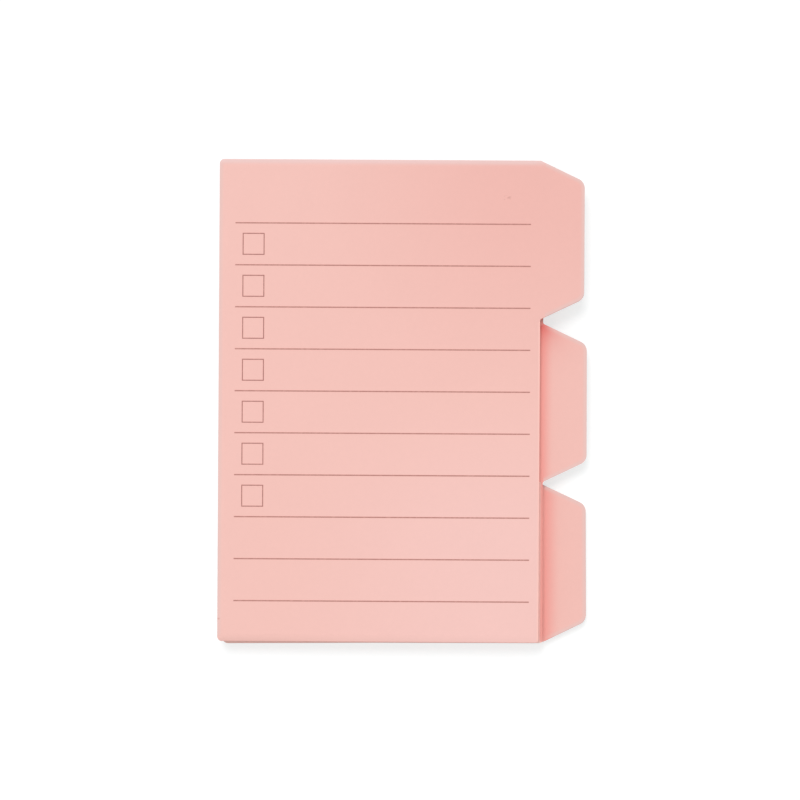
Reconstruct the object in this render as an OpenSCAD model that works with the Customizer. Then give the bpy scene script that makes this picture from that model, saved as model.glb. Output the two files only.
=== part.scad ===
// Pack of index tab notes: three pads of sticky sheets, one on another on a backing card.
// Every sheet is die-cut with one tab on its free edge, and the tab steps down from pad to pad.
// X runs towards the tabs, Y towards the head of the sheets, Z up through the stack, in millimetres.

/* [Sheet] */
// Width of a sheet, without its tab
body_w = 66.6; // [50:0.1:90]
// Height of a sheet
body_h = 100; // [80:1:140]
// Thickness of one sheet of paper
sheet_t = 0.09; // [0.07:0.01:0.12]
// Radius of the two corners on the glued edge
glued_corner_r = 0.9; // [0.4:0.1:4]
// Radius of the corners at the free edge
free_corner_r = 0.5; // [0.2:0.1:2]

/* [Tab] */
// How far a tab stands out from the sheet
tab_reach = 9.1; // [6:0.1:12]
// Slope of a tab's two shoulders, in degrees
tab_slope = 25.5; // [15:0.5:40]
// Radius of a tab's outer corners
tab_corner_r = 1.9; // [0.5:0.1:3]
// Radius of the inner corners where a tab leaves the sheet
tab_root_r = 0.5; // [0.2:0.1:1]
// Gap between one pad's tab and the next, along the free edge
tab_gap = 0.65; // [0.1:0.05:2]

/* [Pads] */
// Sheets in one pad
sheets_per_pad = 20; // [5:1:30]
// How far a sheet may lie out of line with its pad
sheet_jog = 0.06; // [0.01:0.01:0.1]
// How far the middle pad lies towards the tabs
middle_shift_x = 0.76; // [0:0.01:1]
// How far the middle pad lies towards the foot
middle_shift_y = 0.3; // [0:0.01:1]
// How far the middle pad is turned, in degrees
middle_turn = 0.15; // [0:0.05:1]
// How far the bottom pad lies towards the tabs
bottom_shift_x = 0.6; // [0:0.01:1]
// How far the bottom pad lies towards the foot
bottom_shift_y = 0.45; // [0:0.01:1]
// How far the bottom pad is turned, in degrees
bottom_turn = 0.5; // [0:0.05:1]

/* [Adhesive] */
// Width of the adhesive band under each pad
band_w = 15; // [8:0.5:25]
// Thickness of the adhesive
band_t = 0.03; // [0.02:0.01:0.05]
// Bare paper left between the band and the sheet's edges
band_inset = 1.5; // [0.5:0.1:3]

/* [Backing card] */
// Thickness of the card
card_t = 0.35; // [0.2:0.05:1]

/* [Print] */
// Distance from the head of the sheet to the first rule
head_margin = 13.2; // [10:0.1:20]
// Least distance from the last rule to the foot of the sheet
foot_margin = 6; // [3:0.5:8]
// Distance from the glued edge to the rules
left_margin = 3.3; // [1.5:0.1:8]
// Distance from the rules to the free edge
right_margin = 2; // [1.5:0.1:8]
// Distance from one rule to the next
rule_pitch = 8.71; // [7:0.01:10]
// Width of a rule
rule_w = 0.25; // [0.15:0.05:0.5]
// Rows that begin with a check box
check_rows = 7; // [1:1:7]
// Outer width of a check box
check_w = 4.55; // [3:0.05:6]
// Width of a check box's line
check_line_w = 0.2; // [0.1:0.05:0.4]
// Distance from the start of the rules to the check boxes
check_indent = 1.5; // [0.5:0.1:4]
// Thickness of the printed ink
ink_t = 0.02; // [0.01:0.01:0.03]

/* [Hidden] */

// A pad's place in the stack: shift towards the tabs, shift towards the foot, turn
pad_places = [
    [0, 0, 0],
    [middle_shift_x, middle_shift_y, middle_turn],
    [bottom_shift_x, bottom_shift_y, bottom_turn]
];
pad_count = len(pad_places);
pad_t = sheets_per_pad * sheet_t;
stack_t = card_t + pad_count * pad_t;

tab_h = (body_h - (pad_count - 1) * tab_gap) / pad_count;
tab_shoulder = tab_reach * tan(tab_slope);
corner_steps = 5;

rule_count = 1 + floor((body_h - head_margin - foot_margin) / rule_pitch);
rule_len = body_w - left_margin - right_margin;
checked_rows = min(check_rows, rule_count - 1);

// Every next sheet is out of line in another direction, by about the golden angle
jog_angle = 137.5;

paper_colour = [0.95, 0.76, 0.73];
adhesive_colour = [0.93, 0.90, 0.84];
card_colour = [0.91, 0.89, 0.85];
ink_colour = [0.75, 0.54, 0.51];

function unit(v) = v / norm(v);

// Points along the round that takes off the corner between two straight edges
function rounded_corner(before, corner, after, radius) =
    let (
        to_before = unit(before - corner),
        to_after = unit(after - corner),
        half_angle = acos(to_before * to_after) / 2,
        centre = corner + unit(to_before + to_after) * radius / sin(half_angle),
        from_centre = to_before * radius / tan(half_angle) + corner - centre,
        start = atan2(from_centre.y, from_centre.x),
        cross_z = to_before.x * to_after.y - to_before.y * to_after.x,
        sweep = sign(-cross_z) * (180 - 2 * half_angle)
    )
    [for (i = [0 : corner_steps])
        let (a = start + sweep * i / corner_steps)
        centre + radius * [cos(a), sin(a)]];

function rounded_outline(corners, radii) =
    let (n = len(corners))
    [for (i = [0 : n - 1])
        each rounded_corner(corners[(i + n - 1) % n], corners[i], corners[(i + 1) % n], radii[i])];

// A sheet's tab runs from its foot to its head along the free edge
function tab_head(slot) = body_h - slot * (tab_h + tab_gap);
function tab_foot(slot) = tab_head(slot) - tab_h;
function is_first(slot) = slot == 0;
function is_last(slot) = slot == pad_count - 1;

// Corners of a die-cut sheet, from the foot of the glued edge round by the tab
function sheet_corners(slot) = [
    [0, 0],
    if (!is_last(slot)) [body_w, 0],
    [body_w, is_last(slot) ? 0 : tab_foot(slot)],
    [body_w + tab_reach, tab_foot(slot) + tab_shoulder],
    [body_w + tab_reach, tab_head(slot) - tab_shoulder],
    [body_w, tab_head(slot)],
    if (!is_first(slot)) [body_w, body_h],
    [0, body_h]
];

function sheet_radii(slot) = [
    glued_corner_r,
    if (!is_last(slot)) free_corner_r,
    is_last(slot) ? free_corner_r : tab_root_r,
    tab_corner_r,
    tab_corner_r,
    is_first(slot) ? free_corner_r : tab_root_r,
    if (!is_first(slot)) free_corner_r,
    glued_corner_r
];

function sheet_points(slot) = rounded_outline(sheet_corners(slot), sheet_radii(slot));

module sheet_outline(slot) {
    polygon(sheet_points(slot));
}

// A point of a pad's sheet, where the pad lies in the stack, with the front sheet's middle as zero
function in_place(slot, point) =
    let (
        place = pad_places[slot],
        from_middle = point - [body_w, body_h] / 2
    )
    [
        place.x + from_middle.x * cos(place.z) - from_middle.y * sin(place.z),
        -place.y + from_middle.x * sin(place.z) + from_middle.y * cos(place.z)
    ];

// The middle of the whole stack, seen from above, lies over the origin
stack_points = [
    for (slot = [0 : pad_count - 1])
        each [for (point = sheet_points(slot)) in_place(slot, point)]
];
stack_xs = [for (point = stack_points) point.x];
stack_ys = [for (point = stack_points) point.y];
stack_middle = [max(stack_xs) + min(stack_xs), max(stack_ys) + min(stack_ys)] / 2;

// Height of a pad's lowest sheet above the table
function pad_z(slot) = card_t + (pad_count - 1 - slot) * pad_t;

// Moves a piece drawn on its own sheet to that pad's place in the stack
module in_stack(slot, z) {
    place = pad_places[slot];
    translate([place.x - stack_middle.x, -place.y - stack_middle.y, z])
        rotate(place.z)
            translate([-body_w / 2, -body_h / 2, 0])
                children();
}

module adhesive_band(slot) {
    translate([band_inset, band_inset, 0])
        cube([band_w, body_h - 2 * band_inset, band_t]);
}

// One pad: its sheets are jogged a little, and the lowest carries the adhesive in its underside
module pad(slot) {
    color(paper_colour)
        in_stack(slot, pad_z(slot))
            difference() {
                union()
                    for (i = [0 : sheets_per_pad - 1]) {
                        a = jog_angle * (i + slot * sheets_per_pad);
                        translate([sheet_jog * cos(a), sheet_jog * sin(a), i * sheet_t])
                            linear_extrude(sheet_t)
                                sheet_outline(slot);
                    }
                adhesive_band(slot);
            }
}

module adhesive(slot) {
    color(adhesive_colour)
        in_stack(slot, pad_z(slot))
            adhesive_band(slot);
}

module top_pad() pad(0);
module middle_pad() pad(1);
module bottom_pad() pad(2);

module top_adhesive() adhesive(0);
module middle_adhesive() adhesive(1);
module bottom_adhesive() adhesive(2);

// The card has the outline of the pad that it carries
module backing_card() {
    color(card_colour)
        in_stack(pad_count - 1, 0)
            linear_extrude(card_t)
                sheet_outline(pad_count - 1);
}

// Rules are counted from the head of the sheet
function rule_y(row) = body_h - head_margin - row * rule_pitch;

module ruled_lines() {
    color(ink_colour)
        in_stack(0, stack_t)
            for (row = [0 : rule_count - 1])
                translate([left_margin, rule_y(row) - rule_w / 2, 0])
                    cube([rule_len, rule_w, ink_t]);
}

// A check box stands halfway between two rules
module check_boxes() {
    hole_w = check_w - 2 * check_line_w;
    color(ink_colour)
        in_stack(0, stack_t)
            for (row = [0 : checked_rows - 1])
                translate([left_margin + check_indent, rule_y(row) - (rule_pitch + check_w) / 2, 0])
                    linear_extrude(ink_t)
                        difference() {
                            square(check_w);
                            translate([check_line_w, check_line_w])
                                square(hole_w);
                        }
}

top_pad();
middle_pad();
bottom_pad();
top_adhesive();
middle_adhesive();
bottom_adhesive();
backing_card();
ruled_lines();
check_boxes();
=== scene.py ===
# A pack of sticky index tabs on a white table, seen from straight above.
# Three pads of die-cut notes lie one on another on a backing card, each with a tab on its free edge.
# Lengths are in metres. X runs towards the tabs, Y towards the head of the notes and Z up.

import math
import random

import bmesh
import bpy
from mathutils import Matrix, Vector, noise


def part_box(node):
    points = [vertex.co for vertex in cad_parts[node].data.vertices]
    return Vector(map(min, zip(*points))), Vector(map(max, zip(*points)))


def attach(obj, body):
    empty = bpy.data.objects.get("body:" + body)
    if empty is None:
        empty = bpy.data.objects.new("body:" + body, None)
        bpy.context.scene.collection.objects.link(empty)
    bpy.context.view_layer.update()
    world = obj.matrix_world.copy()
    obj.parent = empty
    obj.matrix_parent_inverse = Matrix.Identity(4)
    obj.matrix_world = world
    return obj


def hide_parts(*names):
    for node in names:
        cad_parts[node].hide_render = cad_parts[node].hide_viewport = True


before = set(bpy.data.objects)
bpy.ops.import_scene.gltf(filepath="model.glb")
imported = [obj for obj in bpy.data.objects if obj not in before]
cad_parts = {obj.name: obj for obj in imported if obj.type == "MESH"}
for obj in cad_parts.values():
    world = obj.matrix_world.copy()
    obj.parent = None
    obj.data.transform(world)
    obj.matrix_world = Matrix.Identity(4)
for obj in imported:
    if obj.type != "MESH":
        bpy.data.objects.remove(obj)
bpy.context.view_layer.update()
mm = 0.001


def colour(red, green, blue):  # a colour as a picture shows it, 0 to 255, made linear
    shares = (value / 255 for value in (red, green, blue))
    linear = [s / 12.92 if s <= 0.04045 else ((s + 0.055) / 1.055) ** 2.4 for s in shares]
    return (*linear, 1)


# Shader maths reads as plain Python on these wrapped sockets
class Value:
    def __init__(self, finish, socket):
        self.finish = finish
        self.socket = socket

    def also(self, output):  # another output of the same node
        return Value(self.finish, self.socket.node.outputs[output])

    def __add__(self, other):
        return self.finish.maths("ADD", self, other)

    def __radd__(self, other):
        return self.finish.maths("ADD", other, self)

    def __sub__(self, other):
        return self.finish.maths("SUBTRACT", self, other)

    def __rsub__(self, other):
        return self.finish.maths("SUBTRACT", other, self)

    def __mul__(self, other):
        return self.finish.maths("MULTIPLY", self, other)

    def __rmul__(self, other):
        return self.finish.maths("MULTIPLY", other, self)

    def __abs__(self):
        return self.finish.maths("ABSOLUTE", self)


class Finish:
    def __init__(self, owner):  # owner is a new material or world
        owner.use_nodes = True
        self.tree = owner.node_tree

    def feed(self, socket, value):
        if isinstance(value, Value):
            self.tree.links.new(value.socket, socket)
        else:
            socket.default_value = value

    def node(self, kind, settings=None, sockets=None, output=0):
        new = self.tree.nodes.new(kind)
        for name, value in (settings or {}).items():
            setattr(new, name, value)
        for name, value in (sockets or {}).items():
            self.feed(new.inputs[name], value)
        return Value(self, new.outputs[output])

    def maths(self, operation, *values):
        return self.node("ShaderNodeMath", {"operation": operation}, dict(enumerate(values)))

    def place(self, size=1, stretch=(1, 1, 1)):  # where a point is on the piece, over the size of the pattern
        where = self.node("ShaderNodeTexCoord", output="Object")
        scale = [share / size for share in stretch]
        return self.node("ShaderNodeMapping", {"vector_type": "POINT"}, {"Vector": where, "Scale": scale})

    def noise(self, size, detail=2, stretch=(1, 1, 1)):  # 0 to 1, in blots of about that size
        sockets = {"Vector": self.place(size, stretch), "Scale": 1, "Detail": detail}
        return self.node("ShaderNodeTexNoise", sockets=sockets, output="Fac")

    def rise(self, value, start, end):  # 0 before start, 1 after end, smooth between them
        settings = {"interpolation_type": "SMOOTHSTEP"}
        return self.node("ShaderNodeMapRange", settings, {"Value": value, "From Min": start, "From Max": end})

    def blend(self, share, first, second):
        sockets = {0: share, 6: first, 7: second}
        return self.node("ShaderNodeMix", {"data_type": "RGBA"}, sockets, output=2)

    def bright(self, shade, strength):  # a colour made lighter or darker
        return self.node("ShaderNodeVectorMath", {"operation": "SCALE"}, {0: shade, "Scale": strength})

    def bump(self, height, strength, distance):
        return self.node(
            "ShaderNodeBump", sockets={"Height": height, "Strength": strength, "Distance": distance}
        )


def newMaterial(name, **sockets):  # a principled material, its fixed sockets set here
    material = bpy.data.materials.new(name)
    finish = Finish(material)
    shader = finish.tree.nodes["Principled BSDF"]
    for socket, value in sockets.items():
        shader.inputs[socket.replace("_", " ")].default_value = value
    return material, finish, shader


def ownPiece(name, bm, material, nodes):  # a finished piece that stands for those nodes
    mesh = bpy.data.meshes.new(name)
    bm.to_mesh(mesh)
    bm.free()
    mesh.materials.append(material)
    piece = bpy.data.objects.new(name, mesh)
    bpy.context.scene.collection.objects.link(piece)
    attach(piece, "root")
    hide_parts(*nodes)
    return piece


# The die-cut outline that all three pads share, apart from the place of the tab
note = {
    "width": 66.6 * mm,  # from the glued edge to the free edge, without the tab
    "height": 100 * mm,
    "tabReach": 9.1 * mm,
    "tabSlope": 25.5,  # of its shoulders, in degrees
    "tabGap": 0.65 * mm,
    "tabs": 3,
    "gluedCorner": 0.9 * mm,
    "freeCorner": 0.5 * mm,
    "tabCorner": 1.9 * mm,
    "tabRoot": 0.5 * mm,
    "cornerStep": 15,  # degrees of a round corner that one short side takes
}


def sheetCorners(slot):  # place and radius of every corner, from the foot of the glued edge round by the tab
    tabHeight = (note["height"] - (note["tabs"] - 1) * note["tabGap"]) / note["tabs"]
    tabHead = note["height"] - slot * (tabHeight + note["tabGap"])
    tabFoot = tabHead - tabHeight
    shoulder = note["tabReach"] * math.tan(math.radians(note["tabSlope"]))
    free = note["width"]
    tip = free + note["tabReach"]
    isFirst = slot == 0
    isLast = slot == note["tabs"] - 1
    corners = [(0, 0, note["gluedCorner"])]
    if not isLast:
        corners.append((free, 0, note["freeCorner"]))
    corners.append((free, 0 if isLast else tabFoot, note["freeCorner" if isLast else "tabRoot"]))
    corners.append((tip, tabFoot + shoulder, note["tabCorner"]))
    corners.append((tip, tabHead - shoulder, note["tabCorner"]))
    corners.append((free, tabHead, note["freeCorner" if isFirst else "tabRoot"]))
    if not isFirst:
        corners.append((free, note["height"], note["freeCorner"]))
    corners.append((0, note["height"], note["gluedCorner"]))
    return corners


def sheetFace(slot, cutLength):  # a bmesh with one flat face, its corners rounded and its sides cut
    bm = bmesh.new()
    corners = sheetCorners(slot)
    points = [Vector((x, y, 0)) for x, y, radius in corners]
    verts = [bm.verts.new(point) for point in points]
    bm.faces.new(verts)
    for i, vert in enumerate(verts):
        before = points[i - 1] - points[i]
        after = points[(i + 1) % len(points)] - points[i]
        corner = before.angle(after)
        alongSide = corners[i][2] / math.tan(corner / 2)
        segments = max(2, round((180 - math.degrees(corner)) / note["cornerStep"]))
        bmesh.ops.bevel(
            bm, geom=[vert], offset=alongSide, offset_type="OFFSET", segments=segments, profile=0.5,
            affect="VERTICES", material=-1,
        )
    for edge in bm.edges[:]:
        cuts = round(edge.calc_length() / cutLength) - 1
        if cuts > 0:
            bmesh.ops.subdivide_edges(bm, edges=[edge], cuts=cuts)
    return bm


# Pads, from the top of the stack down: their shift on the table from the top pad, their turn in degrees,
# and the share of the cutter's press on their edges that they kept
padPlaces = {
    "top_pad": {"shift": (0, 0), "turn": 0, "press": 1},
    "middle_pad": {"shift": (0.76 * mm, -0.3 * mm), "turn": 0.15, "press": 0.15},
    "bottom_pad": {"shift": (0.6 * mm, -0.45 * mm), "turn": 0.5, "press": 0.15},
}

padStyle = {
    "sheets": 20,
    "thickness": 0.072 * mm,  # of one sheet, a little less than its share of the pad
    "jog": 0.045 * mm,  # how far a sheet lies out of line
    "jogBound": 0.06 * mm,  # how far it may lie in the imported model
    "jogAngle": 137.5,  # each next sheet is out of line in another direction
    "cutLength": 4 * mm,  # length of the pieces that a long side is divided into
    "cutWaver": 0.012 * mm,  # how far a cut edge strays from its line
    "waverLength": 7 * mm,
    "edgeBend": 1.4 * mm,  # from the cut edge to where a sheet is flat
    "firstRing": 0.25,  # width of the outermost ring of faces, as a share of the free edge's corner
    "edgeDrop": 0.17 * mm,  # how far the cutter presses down the edge of a pad's top sheet
    "dropAcross": (1.2, 0.3),  # the drop at the glued edge and at the free edge, as shares of that
    "dropUp": (1.5, 0.8),  # at the foot and at the head
    "dropPower": 1.5,  # how the drop grows from a pad's lowest sheet to its top sheet
    "dropWaver": 0.3,
    "dropLength": 16 * mm,
    "weld": 0.09 * mm,  # points of a ring that are closer than this become one
    "rimShares": (1, 0.55, 0, 0),  # how much of the painted rim shade each ring in from the cut edge takes
    "sharpAngle": 40,
    "level": 0.5,  # the normal of a sheet's top or underside rises or falls by more than this
    "flat": 0.99999,  # and that of its flat middle by more than this
    "near": 1e-6,  # a face lower than this is at height 0
    "seed": 7,
}

adhesive = {
    "width": 15 * mm,
    "thickness": 0.03 * mm,
    "inset": 1.5 * mm,  # bare paper between the band and the edges of the sheet
}

topLow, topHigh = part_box("top_pad")
middleLow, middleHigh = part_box("middle_pad")
halfNote = Vector((note["width"], note["height"], 0)) / 2
frontMiddle = Vector((topLow.x, topLow.y, 0)) + halfNote + Vector((1, 1, 0)) * padStyle["jogBound"]


def padMatrix(name, z):  # from a sheet's own corner to its pad's place in the stack
    place = padPlaces[name]
    shift = Vector((*place["shift"], z))
    turn = Matrix.Rotation(math.radians(place["turn"]), 4, "Z")
    return Matrix.Translation(frontMiddle + shift) @ turn @ Matrix.Translation(-halfNote)


def pressEdges(bm, rimShade, drop):  # rings of faces that fall towards the cut edge, and the flat middle at z 0
    free = note["freeCorner"]
    glued = note["gluedCorner"]
    bend = padStyle["edgeBend"]
    first = padStyle["firstRing"]
    rings = (first * free, (1 - first) * free, glued - free, bend - glued)  # ends where a round corner closes
    done = 0
    # the rim layer says where the painted rim shade goes
    for vert in bm.verts:
        vert[rimShade] = 1
    for ring, share in zip(rings, padStyle["rimShares"]):
        lift = drop * ((1 - done / bend) ** 2 - (1 - (done + ring) / bend) ** 2)
        flat = max(bm.faces, key=lambda face: face.calc_area())
        bmesh.ops.inset_individual(bm, faces=[flat], thickness=ring, depth=lift, use_even_offset=True)
        for vert in flat.verts:
            vert[rimShade] = share
        bmesh.ops.remove_doubles(bm, verts=flat.verts[:], dist=padStyle["weld"])
        done += ring
    glueSide, freeSide = padStyle["dropAcross"]
    foot, head = padStyle["dropUp"]
    for vert in bm.verts:
        across = min(1, vert.co.x / note["width"])
        up = vert.co.y / note["height"]
        share = (glueSide + (freeSide - glueSide) * across) * (foot + (head - foot) * up)
        waver = 1 + padStyle["dropWaver"] * noise.noise(vert.co / padStyle["dropLength"])
        vert.co.z = (vert.co.z - drop) * share * waver


def addSheet(pad, tone, slot, drop, step, seed):
    bm = sheetFace(slot, padStyle["cutLength"])
    pressEdges(bm, bm.verts.layers.float.new("rimShade"), drop)
    for vert in (v for v in bm.verts if v.is_boundary):
        where = vert.co / padStyle["waverLength"]
        where.z = seed
        waver = noise.noise_vector(where) * padStyle["cutWaver"]
        vert.co += Vector((waver.x, waver.y, 0))
    copied = bmesh.ops.extrude_face_region(bm, geom=bm.faces[:])
    raised = [item for item in copied["geom"] if isinstance(item, bmesh.types.BMVert)]
    bmesh.ops.translate(bm, verts=raised, vec=(0, 0, padStyle["thickness"]))
    bmesh.ops.recalc_face_normals(bm, faces=bm.faces[:])
    bmesh.ops.translate(bm, verts=bm.verts[:], vec=step)
    sheet = bpy.data.meshes.new("sheet")
    bm.to_mesh(sheet)
    bm.free()
    known = len(pad.verts)
    pad.from_mesh(sheet)
    bpy.data.meshes.remove(sheet)
    pad.verts.ensure_lookup_table()
    shade = random.uniform(-1, 1)
    for vert in pad.verts[known:]:
        vert[tone] = shade


def isUnderside(face):  # of the lowest sheet
    return face.normal.z < -padStyle["level"] and face.calc_center_median().z < padStyle["near"]


def cutAdhesiveRecess(bm):  # a shallow bed for the adhesive in the underside of the lowest sheet
    inset = adhesive["inset"]
    low = Vector((inset, inset, 0))
    high = Vector((inset + adhesive["width"], note["height"] - inset, 0))
    for point, normal in ((low, (1, 0, 0)), (low, (0, 1, 0)), (high, (1, 0, 0)), (high, (0, 1, 0))):
        under = [face for face in bm.faces if isUnderside(face)]
        parts = dict.fromkeys(item for face in under for item in (face, *face.edges, *face.verts))
        bmesh.ops.bisect_plane(bm, geom=list(parts), plane_co=point, plane_no=normal)
    bed = [
        face for face in bm.faces
        if isUnderside(face)
        and low.x < face.calc_center_median().x < high.x and low.y < face.calc_center_median().y < high.y
    ]
    raised = bmesh.ops.extrude_face_region(bm, geom=bed)["geom"]
    raised = [item for item in raised if isinstance(item, bmesh.types.BMVert)]
    bmesh.ops.translate(bm, verts=raised, vec=(0, 0, adhesive["thickness"]))


def makePad(name, slot, material):
    low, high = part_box(name)
    count = padStyle["sheets"]
    press = padStyle["edgeDrop"] * padPlaces[name]["press"]
    pitch = (high.z - low.z - padStyle["thickness"]) / (count - 1)
    bm = bmesh.new()
    bm.verts.layers.float.new("rimShade")
    tone = bm.verts.layers.float.new("sheetTone")
    for i in range(count):
        angle = math.radians(padStyle["jogAngle"] * (i + slot * count))
        step = Vector((math.cos(angle), math.sin(angle), 0)) * padStyle["jog"]
        step.z = i * pitch
        drop = press * (i / (count - 1)) ** padStyle["dropPower"]
        addSheet(bm, tone, slot, drop, step, i + slot * count)
        if i == 0:
            cutAdhesiveRecess(bm)
    for face in bm.faces:
        face.smooth = padStyle["level"] < abs(face.normal.z) < padStyle["flat"]
    for edge in bm.edges:
        edge.smooth = edge.calc_face_angle(0) < math.radians(padStyle["sharpAngle"])
    bm.transform(padMatrix(name, low.z))
    return ownPiece(name.replace("_", "-") + "-sheets", bm, material, [name])


# Pulp-dyed writing paper, with painted light and shade in its colour
paper = {
    "base": colour(245, 196, 187),
    "headAndTabShade": colour(241, 186, 177),  # painted shade, darker towards the head of the free edge
    "footLight": colour(246, 200, 193),  # painted light, lighter towards the foot of the free edge
    "headShadeAcross": (0.15, 1),  # where the painted shade rises, as shares of the note's width and of its height
    "headShadeUp": (0.4, 1),
    "footLightAcross": (0.1, 0.9),
    "footLightDown": (0.45, 0.8),
    "tabAcross": (0.99, 1.02),  # where the tabs begin
    "tabShade": 0.4,  # share of the painted shade on every tab
    "headHighlight": colour(239, 204, 200),  # painted highlight along the edge at the head
    "headHighlightWidth": 1.4 * mm,
    "rimShade": colour(235, 198, 192),  # painted shade along the cut edges, greyer, with less red
    "freeEdgeHighlight": colour(255, 204, 194),  # painted highlight along the front sheet's free edge, below its tab
    "freeEdgeHighlightWidth": 0.5 * mm,
    "freeEdgeHighlightPast": 0.2 * mm,
    "rimFoot": (0.3 * mm, 1.8 * mm),  # the painted rim shade fades towards the foot
    "rimFrom": 1 * mm,  # and it stays this far from the line of the front sheet's free edge
    "stepShade": colour(243, 168, 159),  # painted coral shade beside the pad above, whose dye tints the light there
    "stepShadeMiddle": (0.3 * mm, 3 * mm),  # from the front sheet: where it is full and where it ends
    "stepShadeBottom": (0.9 * mm, 4.8 * mm),
    "stepShadeFrom": -1 * mm,
    "stepShadeBeside": 0.7,  # share of the painted shade right beside the front sheet, and where it gets whole
    "stepShadeWhole": (0.1 * mm, 0.9 * mm),
    "nookShade": colour(227, 118, 112),  # deepest painted shade, where the middle tab leaves the front sheet
    "nookPlace": (67 * mm, 66.6 * mm),  # from the foot of the front sheet's glued edge
    "nookReach": 2.7 * mm,
    "nookStrength": 1.4,
    "nookMost": 0.85,
    "nookHollow": (0.2 * mm, 0.9 * mm),  # no painted shade in the very corner, which is in the rendered shade anyway
    "ledgeShade": colour(240, 167, 158),  # painted shade on the strip of the middle pad between the front sheet and the last tab
    "ledgeLight": colour(255, 214, 205),  # painted light on that strip right beside the front sheet
    "ledgeFade": (0.2 * mm, 0.65 * mm),
    "besideLedgeLight": colour(255, 188, 178),  # painted light on the last tab right beside that strip
    "besideLedgeFade": (1 * mm, 1.55 * mm),
    "footLedgeLight": colour(255, 224, 216),  # painted light on the strips of the lower pads past the foot of the front sheet, where they lie in shade
    "footLedgeFrom": 0.06 * mm,
    "scuff": colour(222, 166, 156),
    "scuffHeight": 5.4 * mm,  # the scuffs are on the front sheet alone
    "scuffFade": (0.4, 1.1),  # from where to where a scuff fades, as shares of its half length
    "cloudSize": 9 * mm,
    "cloud": 0.012,
    "mottleSize": 0.9 * mm,
    "mottle": 0.016,
    "fibreSize": 0.09 * mm,
    "fibreStretch": (1, 0.28, 1),
    "fibre": 0.02,
    "bump": 0.35,
    "bumpHeight": 0.012 * mm,
    "cut": colour(243, 172, 161),  # the cut edges of a pad, where light goes from sheet to sheet
    "cutSlope": (0.3, 0.7),  # how steep a face has to be to count as cut
    "sheetTone": 0.09,  # how much the cut edges of the sheets differ
    "roughness": (0.8, 0.94),
}


# Flecks and scuffs on the front sheet: place from the foot of its glued edge, length, width, turn, strength
scuffs = (
    (60.02 * mm, 92.36 * mm, 1.15 * mm, 0.5 * mm, 18, 0.78),
    (60.2 * mm, 92.15 * mm, 0.5 * mm, 0.35 * mm, -50, 0.7),
    (59.08 * mm, 91.94 * mm, 0.35 * mm, 0.3 * mm, 0, 0.5),
    (59.1 * mm, 92.58 * mm, 0.35 * mm, 0.28 * mm, 0, 0.45),
    (59.4 * mm, 92.8 * mm, 0.8 * mm, 0.24 * mm, 0, 0.3),
    (0.2 * mm, 4.62 * mm, 0.75 * mm, 0.5 * mm, 0, 0.7),
)


def scuffMask(finish, x, y, z):  # 1 in the middle of a scuff, 0 away from all of them
    mask = 0
    for acrossAt, upAt, length, width, turn, strength in scuffs:
        cosine = math.cos(math.radians(turn))
        sine = math.sin(math.radians(turn))
        along = ((x - acrossAt) * cosine + (y - upAt) * sine) * (2 / length)
        aside = ((y - upAt) * cosine - (x - acrossAt) * sine) * (2 / width)
        away = finish.maths("SQRT", along * along + aside * aside)
        mask = finish.maths("MAXIMUM", mask, (1 - finish.rise(away, *paper["scuffFade"])) * strength)
    return mask * finish.maths("GREATER_THAN", z, paper["scuffHeight"])


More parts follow.
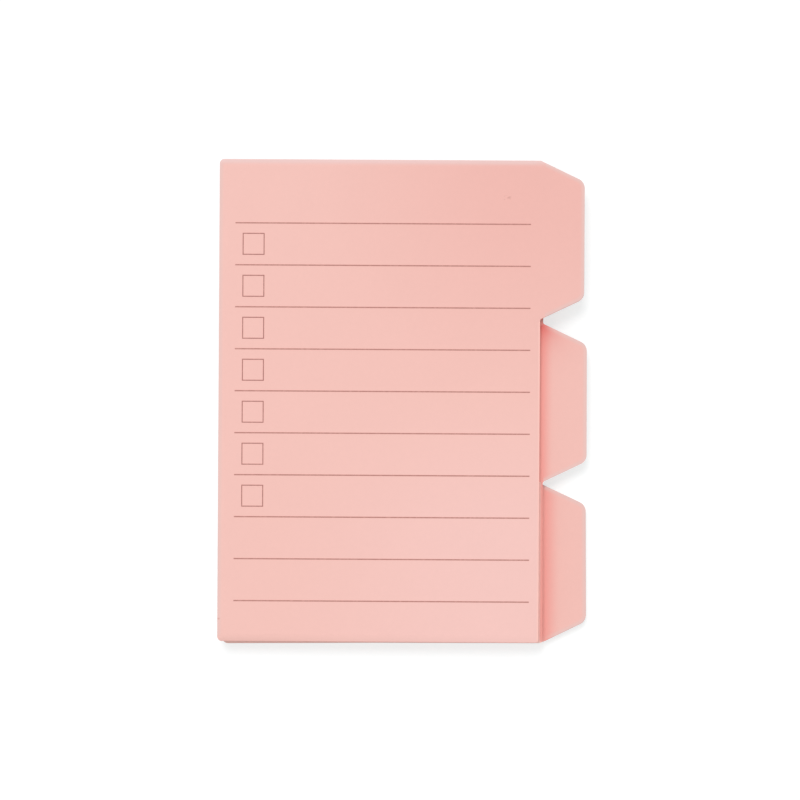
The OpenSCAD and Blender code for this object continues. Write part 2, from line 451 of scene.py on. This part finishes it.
def makePaper():
    material, finish, shader = newMaterial("pinkNotePaper", Specular_IOR_Level=0.22)
    where = finish.place()
    x = finish.node("ShaderNodeSeparateXYZ", sockets={0: where}, output="X")
    fromGlue = x - (frontMiddle.x - note["width"] / 2)
    fromFoot = x.also("Y") - (frontMiddle.y - note["height"] / 2)
    across = fromGlue * (1 / note["width"])
    up = fromFoot * (1 / note["height"])
    onTab = finish.rise(across, *paper["tabAcross"])
    # painted shade, darker towards the head of the free edge and on every tab
    headAndTabShade = finish.rise(across, *paper["headShadeAcross"]) * finish.rise(up, *paper["headShadeUp"])
    headAndTabShade = finish.maths("MAXIMUM", headAndTabShade, onTab * paper["tabShade"])
    # painted light, lighter towards the foot of the free edge, off the tabs
    footLight = finish.rise(across, *paper["footLightAcross"]) * finish.rise(1 - up, *paper["footLightDown"]) * (1 - onTab)
    dyeAndPaintedShading = finish.blend(headAndTabShade, paper["base"], paper["headAndTabShade"])
    dyeAndPaintedShading = finish.blend(footLight, dyeAndPaintedShading, paper["footLight"])
    z = x.also("Z")
    pastStep = fromGlue - note["width"]
    isLower = finish.maths("LESS_THAN", z, topLow.z + padStyle["thickness"])
    isLowest = finish.maths("LESS_THAN", z, middleLow.z + padStyle["thickness"])
    # painted coral shade beside the step down from the pad above, wider on the lowest pad
    stepShade = 1 - finish.rise(pastStep, *paper["stepShadeMiddle"])
    stepShade = finish.maths("MAXIMUM", stepShade, (1 - finish.rise(pastStep, *paper["stepShadeBottom"])) * isLowest)
    besideFront = finish.maths("LESS_THAN", fromFoot, note["height"] * (1 - 1 / note["tabs"]))
    beside = paper["stepShadeBeside"]
    stepShade = stepShade * (beside + finish.rise(pastStep, *paper["stepShadeWhole"]) * (1 - beside))
    stepShade = stepShade * isLower * finish.maths("GREATER_THAN", pastStep, paper["stepShadeFrom"]) * besideFront
    dyeAndPaintedShading = finish.blend(stepShade, dyeAndPaintedShading, paper["stepShade"])
    # painted shade, deepest where the middle tab leaves the front sheet
    nookAcross, nookUp = (value - place for value, place in zip((fromGlue, fromFoot), paper["nookPlace"]))
    fromNook = finish.maths("SQRT", nookAcross * nookAcross + nookUp * nookUp)
    nookShade = finish.maths("EXPONENT", fromNook * (-1 / paper["nookReach"])) * paper["nookStrength"]
    nookShade = finish.maths("MINIMUM", nookShade, paper["nookMost"]) * finish.rise(fromNook, *paper["nookHollow"])
    nookShade = nookShade * isLower * (1 - isLowest)
    dyeAndPaintedShading = finish.blend(nookShade, dyeAndPaintedShading, paper["nookShade"])
    # painted light on the last tab right beside the middle pad's strip
    besideLedgeLight = (1 - finish.rise(pastStep, *paper["besideLedgeFade"])) * isLowest
    dyeAndPaintedShading = finish.blend(besideLedgeLight, dyeAndPaintedShading, paper["besideLedgeLight"])
    # painted shade on the middle pad's strip beside the last tab, with painted light right beside the front
    # sheet
    ledgeShade = isLower * (1 - isLowest) * finish.maths("LESS_THAN", fromFoot, note["height"] / note["tabs"])
    fade = finish.rise(pastStep, *paper["ledgeFade"])
    dyeAndPaintedShading = finish.blend(ledgeShade, dyeAndPaintedShading, finish.blend(fade, paper["ledgeLight"], paper["ledgeShade"]))
    # painted light on the lower pads' strips past the foot of the front sheet
    footLedgeLight = isLower * finish.maths("LESS_THAN", fromFoot, paper["footLedgeFrom"])
    dyeAndPaintedShading = finish.blend(footLedgeLight, dyeAndPaintedShading, paper["footLedgeLight"])
    # painted shade along the cut edges, kept off the step and the foot
    rimShade = finish.node("ShaderNodeAttribute", {"attribute_name": "rimShade"}, output="Fac")
    rimShade = rimShade * finish.maths("GREATER_THAN", abs(pastStep), paper["rimFrom"])
    rimShade = rimShade * finish.rise(fromFoot, *paper["rimFoot"])
    dyeAndPaintedShading = finish.blend(rimShade * (1 - nookShade), dyeAndPaintedShading, paper["rimShade"])
    # painted highlight along the front sheet's free edge, below its tab
    atFreeHighlight = finish.rise(pastStep, -paper["freeEdgeHighlightWidth"], 0)
    atFreeHighlight = atFreeHighlight * (1 - finish.rise(pastStep, 0, paper["freeEdgeHighlightPast"]))
    dyeAndPaintedShading = finish.blend(atFreeHighlight * besideFront * (1 - isLower), dyeAndPaintedShading, paper["freeEdgeHighlight"])
    # painted highlight along the edge at the head
    headHighlight = finish.rise(fromFoot, note["height"] - paper["headHighlightWidth"], note["height"])
    dyeAndPaintedShading = finish.blend(headHighlight, dyeAndPaintedShading, paper["headHighlight"])
    dyeAndPaintedShading = finish.blend(scuffMask(finish, fromGlue, fromFoot, z), dyeAndPaintedShading, paper["scuff"])
    clouds = finish.noise(paper["cloudSize"], 3) - 0.5
    mottle = finish.noise(paper["mottleSize"], 4) - 0.5
    fibres = finish.noise(paper["fibreSize"], 3, paper["fibreStretch"]) - 0.5
    facing = finish.node("ShaderNodeNewGeometry", output="Normal")
    upward = finish.node("ShaderNodeSeparateXYZ", sockets={0: facing}, output="Z")
    cut = finish.rise(1 - abs(upward), *paper["cutSlope"])
    tone = finish.node("ShaderNodeAttribute", {"attribute_name": "sheetTone"}, output="Fac")
    strength = 1 + clouds * (2 * paper["cloud"]) + mottle * (2 * paper["mottle"])
    strength = strength + fibres * (2 * paper["fibre"]) + cut * tone * paper["sheetTone"]
    finish.feed(shader.inputs["Base Color"], finish.bright(finish.blend(cut, dyeAndPaintedShading, paper["cut"]), strength))
    low, high = paper["roughness"]
    finish.feed(shader.inputs["Roughness"], low + finish.noise(paper["mottleSize"], 2) * (high - low))
    finish.feed(shader.inputs["Normal"], finish.bump(fibres + mottle, paper["bump"], paper["bumpHeight"]))
    return material


# Thin brownish red printing ink, a little uneven where the paper took it
ink = {
    "rules": (colour(186, 129, 120), colour(205, 150, 141)),
    "boxes": (colour(174, 116, 109), colour(194, 138, 129)),
    "patchSize": 0.5 * mm,
    "patches": (0.4, 0.8),  # of the noise, from solid ink to thin ink
    "roughness": (0.55, 0.75),
}


def makeInk(name, solid, thin):
    material, finish, shader = newMaterial(name, Specular_IOR_Level=0.3)
    patches = finish.rise(finish.noise(ink["patchSize"], 3), *ink["patches"])
    finish.feed(shader.inputs["Base Color"], finish.blend(patches, solid, thin))
    low, high = ink["roughness"]
    finish.feed(shader.inputs["Roughness"], low + patches * (high - low))
    return material


# Removable adhesive, a thin milky film
glueFilm = {
    "film": colour(236, 230, 214),
    "thick": colour(246, 242, 232),
    "blotSize": 1.5 * mm,
    "roughness": (0.3, 0.5),
}


def makeGlueFilm():
    material, finish, shader = newMaterial("removableAdhesive", Specular_IOR_Level=0.5)
    blots = finish.noise(glueFilm["blotSize"], 3)
    finish.feed(shader.inputs["Base Color"], finish.blend(blots, glueFilm["film"], glueFilm["thick"]))
    low, high = glueFilm["roughness"]
    finish.feed(shader.inputs["Roughness"], low + blots * (high - low))
    return material


# Uncoated off-white backing card
backing = {
    "bevel": 0.05 * mm,
    "bevelSegments": 3,
    "rimAngle": 80,  # the edges of the outline turn by more than this, in degrees
    "board": colour(234, 230, 221),
    "fibre": colour(214, 206, 193),
    "speck": colour(160, 148, 134),
    "fibreSize": 0.5 * mm,
    "fibreStretch": (1, 0.3, 1),
    "fibres": (0.35, 0.75),  # of the noise, from board to fibre
    "speckSize": 0.8 * mm,
    "specks": (0.72, 0.8),
    "roughness": (0.8, 0.95),
    "bump": 0.4,
    "bumpHeight": 0.02 * mm,
}


def makeBoard():
    material, finish, shader = newMaterial("backingBoard", Specular_IOR_Level=0.25)
    fibres = finish.noise(backing["fibreSize"], 4, backing["fibreStretch"])
    specks = finish.rise(finish.noise(backing["speckSize"], 1), *backing["specks"])
    shade = finish.blend(finish.rise(fibres, *backing["fibres"]), backing["board"], backing["fibre"])
    finish.feed(shader.inputs["Base Color"], finish.blend(specks, shade, backing["speck"]))
    low, high = backing["roughness"]
    finish.feed(shader.inputs["Roughness"], low + fibres * (high - low))
    finish.feed(shader.inputs["Normal"], finish.bump(fibres, backing["bump"], backing["bumpHeight"]))
    return material


def makeBackingCard(material):
    low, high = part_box("backing_card")
    bm = sheetFace(note["tabs"] - 1, note["height"])  # its sides stay whole
    copied = bmesh.ops.extrude_face_region(bm, geom=bm.faces[:])
    raised = [item for item in copied["geom"] if isinstance(item, bmesh.types.BMVert)]
    bmesh.ops.translate(bm, verts=raised, vec=(0, 0, high.z - low.z))
    bmesh.ops.recalc_face_normals(bm, faces=bm.faces[:])
    rims = [edge for edge in bm.edges if edge.calc_face_angle(0) > math.radians(backing["rimAngle"])]
    bmesh.ops.bevel(
        bm, geom=rims, offset=backing["bevel"], offset_type="OFFSET", segments=backing["bevelSegments"],
        profile=0.5, affect="EDGES", material=-1,
    )
    bm.transform(padMatrix("bottom_pad", low.z))
    return ownPiece("backing-board", bm, material, ["backing_card"])


random.seed(padStyle["seed"])
noise.seed_set(padStyle["seed"])
notePaper = makePaper()
for slot, padName in enumerate(padPlaces):
    madePad = makePad(padName, slot, notePaper)
    print("pad", padName, "has", len(madePad.data.polygons), "faces")

makeBackingCard(makeBoard())
print("backing card made")

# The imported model's own solids that show as they are
glueFinish = makeGlueFilm()
carriedOver = {
    "ruled_lines": makeInk("ruleInk", *ink["rules"]),
    "check_boxes": makeInk("boxInk", *ink["boxes"]),
    "top_adhesive": glueFinish,
    "middle_adhesive": glueFinish,
    "bottom_adhesive": glueFinish,
}
for nodeName, finishMaterial in carriedOver.items():
    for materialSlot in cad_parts[nodeName].material_slots:
        materialSlot.material = finishMaterial
print("print and adhesive finished")


def seen(finish):  # 1 for what the camera sees, directly, in a gloss or through glass
    camera = finish.node("ShaderNodeLightPath", output="Is Camera Ray")
    shown = finish.maths("MAXIMUM", camera, camera.also("Is Glossy Ray"))
    return finish.maths("MAXIMUM", shown, camera.also("Is Transmission Ray"))


# The table: what the camera sees of it is lifted to white, and it keeps the shadow of the pack
table = {
    "size": 4,
    "paint": colour(231, 231, 231),  # as light that falls on the pack from it
    "shown": colour(177, 177, 177),  # as the camera sees it, before the lift
    "lift": 0.652,
    "liftTint": (0.965, 1, 1, 1),  # takes the paper's pink out of the shadow
}


def makeTable():
    bm = bmesh.new()
    bmesh.ops.create_grid(bm, x_segments=1, y_segments=1, size=table["size"] / 2)
    mesh = bpy.data.meshes.new("table")
    bm.to_mesh(mesh)
    bm.free()
    top = bpy.data.objects.new("table", mesh)
    bpy.context.scene.collection.objects.link(top)
    material = bpy.data.materials.new("whiteTable")
    finish = Finish(material)
    paint = finish.node("ShaderNodeBsdfDiffuse", sockets={"Color": table["paint"]})
    shown = finish.node("ShaderNodeBsdfDiffuse", sockets={"Color": table["shown"]})
    glow = finish.node("ShaderNodeEmission", sockets={"Color": table["liftTint"], "Strength": table["lift"]})
    lifted = finish.node("ShaderNodeAddShader", sockets={0: shown, 1: glow})
    both = finish.node("ShaderNodeMixShader", sockets={0: seen(finish), 1: paint, 2: lifted})
    finish.feed(finish.tree.nodes["Material Output"].inputs["Surface"], both)
    mesh.materials.append(material)


# Even daylight from all round, and a soft key light from above the head of the pack
light = {
    "sky": 0.6,
    "key": 0.4,  # share of the light that the key adds on a level surface
    "height": 60,  # of the key above the table, in degrees
    "aside": 17,  # how far it stands to the left of the head, in degrees
    "softness": 26,  # width of the key as the pack sees it, in degrees
}


def makeLight():
    world = bpy.data.worlds.new("studio")
    bpy.context.scene.world = world
    finish = Finish(world)
    strength = light["sky"] + seen(finish) * (1 - light["sky"])
    background = finish.tree.nodes["Background"]
    background.inputs["Color"].default_value = (1, 1, 1, 1)
    finish.feed(background.inputs["Strength"], strength)
    height = math.radians(light["height"])
    aside = math.radians(light["aside"])
    level = math.cos(height)
    towards = Vector((-math.sin(aside) * level, math.cos(aside) * level, math.sin(height)))
    lamp = bpy.data.lights.new("key", "SUN")
    lamp.energy = light["key"] * math.pi / math.sin(height)
    lamp.angle = math.radians(light["softness"])
    key = bpy.data.objects.new("key", lamp)
    key.rotation_euler = towards.to_track_quat("Z", "Y").to_euler()
    bpy.context.scene.collection.objects.link(key)


# The camera looks straight down. Pixels are those of the 800 by 800 picture.
view = {
    "pixels": 800,
    "pixelSize": 0.2075 * mm,  # what one pixel covers at the height of the top sheet
    "noteMiddle": (379.1, 400.9),  # pixel of the middle of the top sheet, without its tab
    "height": 0.6,  # above the top sheet
    "turn": 0.33,  # how far the pack lies clockwise in the picture, in degrees
    "sensor": 36,
}


def makeCamera():
    middle = view["pixels"] / 2
    pixelX, pixelY = view["noteMiddle"]
    turn = Matrix.Rotation(math.radians(view["turn"]), 4, "Z")
    fromCamera = turn @ Vector((pixelX - middle, middle - pixelY, 0)) * view["pixelSize"]
    lens = bpy.data.cameras.new("camera")
    lens.sensor_width = view["sensor"]
    lens.lens = view["sensor"] * view["height"] / (view["pixels"] * view["pixelSize"])
    camera = bpy.data.objects.new("camera", lens)
    camera.location = frontMiddle - fromCamera + Vector((0, 0, topHigh.z + view["height"]))
    camera.rotation_euler = (0, 0, math.radians(view["turn"]))
    bpy.context.scene.collection.objects.link(camera)
    bpy.context.scene.camera = camera


makeTable()
makeLight()
makeCamera()
bpy.context.scene.view_settings.view_transform = "Standard"
print("table, light and camera set")
